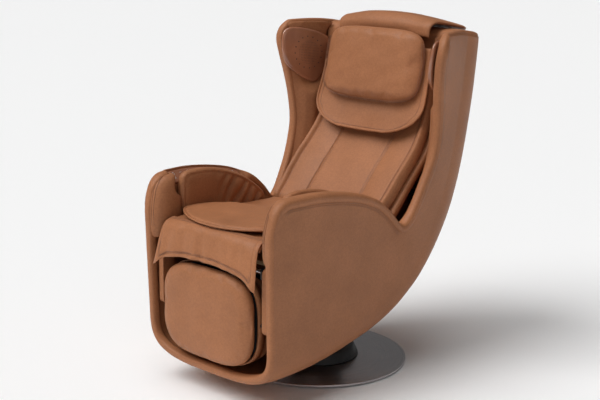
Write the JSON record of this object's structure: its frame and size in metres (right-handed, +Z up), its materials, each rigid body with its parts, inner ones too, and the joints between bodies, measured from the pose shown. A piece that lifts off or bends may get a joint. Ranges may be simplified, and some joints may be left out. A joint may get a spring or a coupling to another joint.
{
  "type": "massage chair",
  "caption": "Swivelling massage lounge chair: scoop-shaped upholstered shell on a round steel disc, with a flip-over leg rest, back rollers and head pillow.",
  "frame": {"origin": "on the floor under the centre of the round base disc", "axes": "+Z up, -Y towards the front (where the sitter faces), +X towards the sitter's left"},
  "size_m": [0.733, 1.0835, 1.1393],
  "materials": {
    "leather": "tan synthetic leather, fine grain, satin",
    "shell_leather": "tan synthetic leather stretched over a moulded shell, fine grain, satin",
    "calf_leather": "tan synthetic leather, soft, matt",
    "brushed_steel": "polished stainless steel with fine circular lines",
    "bright_steel": "ground steel",
    "black_steel": "black powder coat",
    "black_plastic": "black moulded plastic, fine texture",
    "speaker_gloss": "glossy translucent brown plastic",
    "rubber": "matt black rubber",
    "plywood": "raw birch plywood"
  },
  "bodies": {
    "base": {"foot_mat": "rubber", "base_disc": "brushed_steel", "column_post": "black_steel", "thrust_bearing": "bright_steel"},
    "swivel": {"swivel_hub": "black_steel", "column_cover": "black_plastic", "tilt_yoke": "black_steel", "tilt_shaft": "bright_steel"},
    "seat_shell": {"seat_frame": "black_steel", "seat_board": "plywood", "leg_bracket_left": "black_steel", "leg_bracket_right": "black_steel", "actuator_bracket": "black_steel", "control_box": "black_plastic", "air_pump": "black_plastic", "shell_bottom_pan": "shell_leather", "shell_back_pan": "shell_leather", "shell_side_left": "shell_leather", "shell_side_right": "shell_leather", "side_lining_left": "leather", "side_lining_right": "leather", "guide_rod_left": "bright_steel", "guide_rod_right": "bright_steel", "rail_foot": "black_steel", "rail_head": "black_steel", "screw_motor": "black_plastic", "seat_pad": "leather", "seat_overlay": "leather", "seat_skirt": "leather", "back_pad": "leather", "back_shroud_left": "leather", "back_shroud_right": "leather", "head_flap": "leather", "top_cover": "leather", "arm_pad_left": "leather", "arm_pad_right": "leather", "speaker_left": "speaker_gloss", "speaker_right": "speaker_gloss", "control_panel": "speaker_gloss", "power_inlet": "black_plastic"},
    "pillow": {"head_pillow": "leather"},
    "actuator": {"actuator_tube": "black_plastic"},
    "actuator_ram": {"actuator_rod": "bright_steel"},
    "screw": {"lead_screw": "bright_steel"},
    "carriage": {"carriage_housing": "black_plastic", "arm_shaft": "bright_steel"},
    "arm_left": {"massage_arm_left": "black_steel"},
    "arm_right": {"massage_arm_right": "black_steel"},
    "roller_ul": {"roller_upper_left": "black_plastic"},
    "roller_ll": {"roller_lower_left": "black_plastic"},
    "roller_ur": {"roller_upper_right": "black_plastic"},
    "roller_lr": {"roller_lower_right": "black_plastic"},
    "leg_rest": {"leg_arm_left": "leather", "leg_arm_right": "leather", "swing_shaft": "bright_steel"},
    "leg_pad": {"flip_pad_front": "leather", "flip_tray": "black_steel", "calf_massager": "calf_leather"},
    "rocker": {"power_switch": "black_plastic"}
  },
  "joints": [
    {"name": "swivel_turn", "type": "hinge", "parent": "base", "child": "swivel", "pos_m": [0, 0, 0.04], "axis": [0, 0, 1], "continuous": true},
    {"name": "shell_tilt", "type": "hinge", "parent": "swivel", "child": "seat_shell", "pos_m": [0, 0, 0.085], "axis": [-1, 0, 0], "range_deg": [0, 22]},
    {"name": "actuator_swing", "type": "hinge", "parent": "seat_shell", "child": "actuator", "pos_m": [0, -0.27, 0.17], "axis": [1, 0, 0], "range_deg": [0, 3.2]},
    {"name": "actuator_stroke", "type": "slide", "parent": "actuator", "child": "actuator_ram", "axis": [0, 0.9738, 0.2272], "range_m": [-0.0584, 0]},
    {"name": "carriage_slide", "type": "slide", "parent": "seat_shell", "child": "carriage", "axis": [0, 0.309, 0.9511], "range_m": [-0.06, 0.22]},
    {"name": "lead_screw_spin", "type": "hinge", "parent": "seat_shell", "child": "screw", "pos_m": [0, 0.345, 0.66], "axis": [0, 0.309, 0.9511], "range_deg": [-720, 2640]},
    {"name": "knead_left", "type": "hinge", "parent": "carriage", "child": "arm_left", "pos_m": [0.05, 0.33454, 0.70546], "axis": [1, 0, 0], "range_deg": [-8, 8]},
    {"name": "knead_right", "type": "hinge", "parent": "carriage", "child": "arm_right", "pos_m": [-0.05, 0.33454, 0.70546], "axis": [1, 0, 0], "range_deg": [-8, 8]},
    {"name": "roller_upper_left_spin", "type": "hinge", "parent": "arm_left", "child": "roller_ul", "pos_m": [0.064, 0.34963, 0.75838], "axis": [1, 0, 0], "continuous": true},
    {"name": "roller_lower_left_spin", "type": "hinge", "parent": "arm_left", "child": "roller_ll", "pos_m": [0.064, 0.31564, 0.65377], "axis": [1, 0, 0], "continuous": true},
    {"name": "roller_upper_right_spin", "type": "hinge", "parent": "arm_right", "child": "roller_ur", "pos_m": [-0.036, 0.34963, 0.75838], "axis": [1, 0, 0], "continuous": true},
    {"name": "roller_lower_right_spin", "type": "hinge", "parent": "arm_right", "child": "roller_lr", "pos_m": [-0.036, 0.31564, 0.65377], "axis": [1, 0, 0], "continuous": true},
    {"name": "pillow_lift", "type": "hinge", "parent": "seat_shell", "child": "pillow", "pos_m": [0, 0.3, 1.084], "axis": [-1, 0, 0], "range_deg": [0, 62]},
    {"name": "leg_rest_swing", "type": "hinge", "parent": "seat_shell", "child": "leg_rest", "pos_m": [0, -0.465, 0.436], "axis": [-1, 0, 0], "range_deg": [0, 75], "deforming": ["seat_skirt"]},
    {"name": "leg_pad_flip", "type": "hinge", "parent": "leg_rest", "child": "leg_pad", "pos_m": [0, -0.465, 0.27], "axis": [-1, 0, 0], "range_deg": [0, 180]},
    {"name": "rocker_press", "type": "hinge", "parent": "seat_shell", "child": "rocker", "pos_m": [0.125, 0.27356, 0.269], "axis": [1, 0, 0], "range_deg": [0, 8]}
  ],
  "couplings": [
    {"joint": "actuator_swing", "follows": "shell_tilt", "ratio": 0.14234},
    {"joint": "actuator_stroke", "follows": "shell_tilt", "m_per_rad": -0.15186},
    {"joint": "lead_screw_spin", "follows": "carriage_slide", "rad_per_m": 209.44},
    {"joint": "knead_right", "follows": "knead_left", "ratio": -1}
  ]
}
